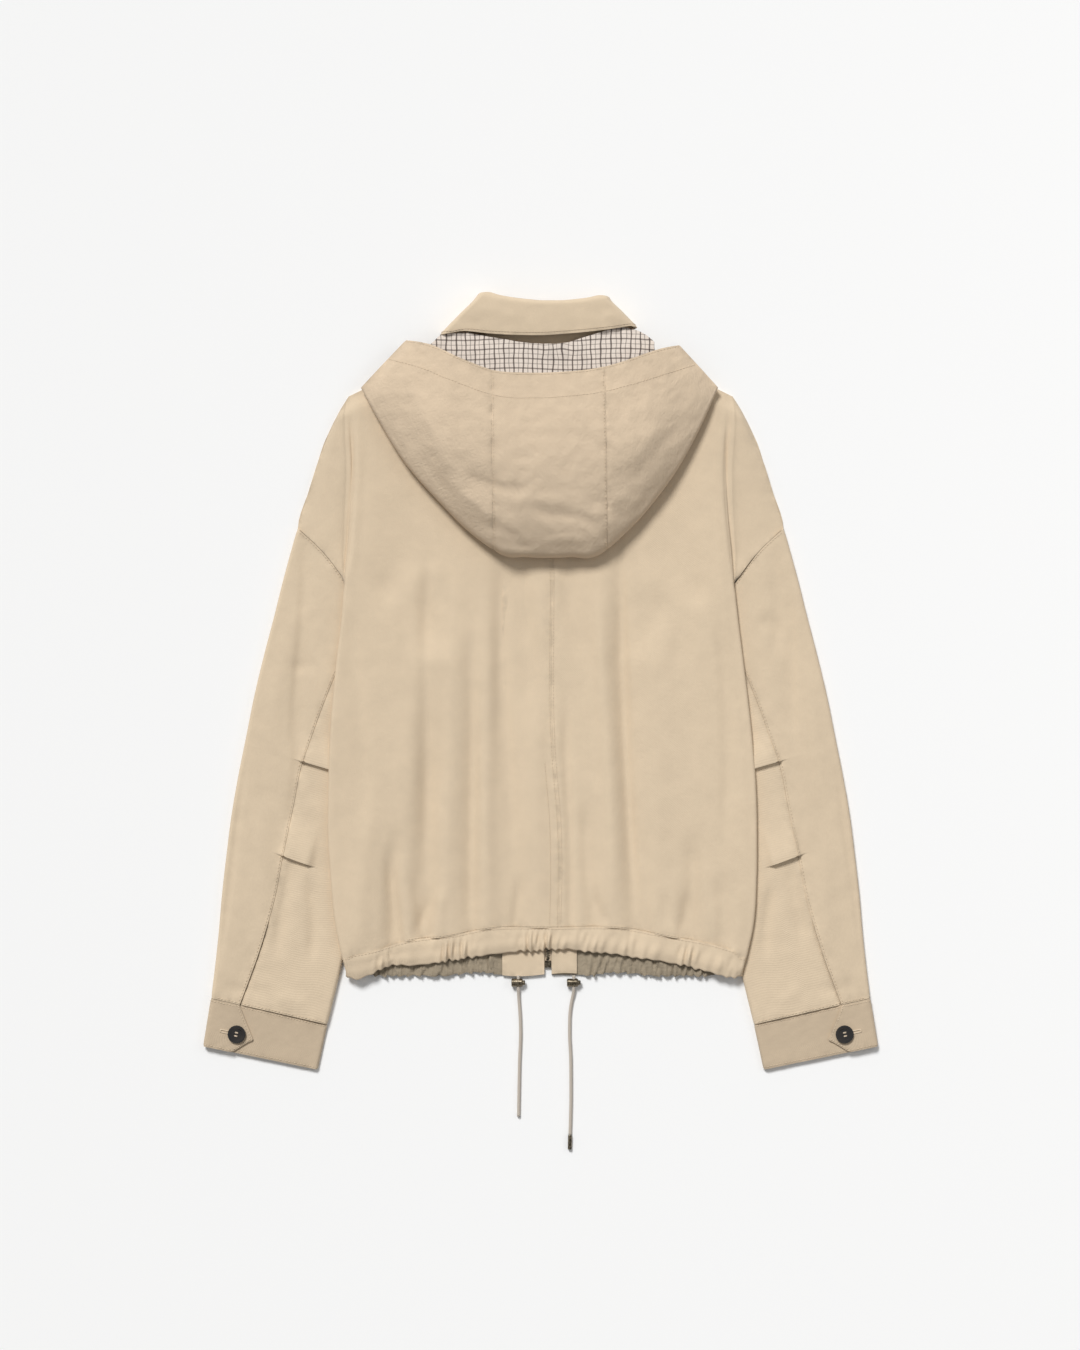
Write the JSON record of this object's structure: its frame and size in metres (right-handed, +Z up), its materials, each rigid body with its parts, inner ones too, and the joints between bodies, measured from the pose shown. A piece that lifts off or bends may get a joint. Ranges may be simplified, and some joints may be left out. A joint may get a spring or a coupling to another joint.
{
  "type": "hooded zip jacket",
  "caption": "Hooded zip jacket laid flat on its front with its back up, with collar, buttoned cuffs, gathered hem casing and drawcords.",
  "frame": {"origin": "middle of the footprint without the free cords, on the surface the jacket lies on", "axes": "+Y from the hem to the neck, +Z up from the surface, +X to the right as the back is seen"},
  "size_m": [0.643, 0.8154, 0.0503],
  "materials": {
    "shell": "cotton twill, washed, matt, sandy beige",
    "shell_rosy": "cotton twill of the hood, washed, matt",
    "lining": "woven small check, thin cotton",
    "horn": "polished black button",
    "brass": "dark antique plating",
    "cord": "braided round cord, matt"
  },
  "bodies": {
    "jacket": {"front_left": "shell", "front_right": "shell", "back_left": "shell", "back_right": "shell", "sleeve_top_left": "shell", "sleeve_top_right": "shell", "sleeve_under_left": "shell", "sleeve_under_right": "shell", "cuff_left": "shell", "cuff_right": "shell", "front_hem_casing_left": "shell", "front_hem_casing_right": "shell", "back_hem_casing": "shell", "zip_facing_left": "shell", "zip_facing_right": "shell", "hood_side_left": "shell_rosy", "hood_centre": "shell_rosy", "hood_side_right": "shell_rosy", "hood_lining": "lining", "collar": "shell", "button_left": "horn", "button_right": "horn", "zip_teeth": "brass", "zip_slider": "brass", "cord_lock_left": "brass", "cord_lock_right": "brass", "cord_tip": "brass", "drawcord_left": "cord", "drawcord_right": "cord"},
    "zip_pull": {"zip_pull": "brass"}
  },
  "joints": [
    {"name": "zip_pull_hinge", "type": "hinge", "parent": "jacket", "child": "zip_pull", "pos_m": [0.007, 0.242, 0.0016], "axis": [1, 0, 0], "range_deg": [0, 170]}
  ]
}
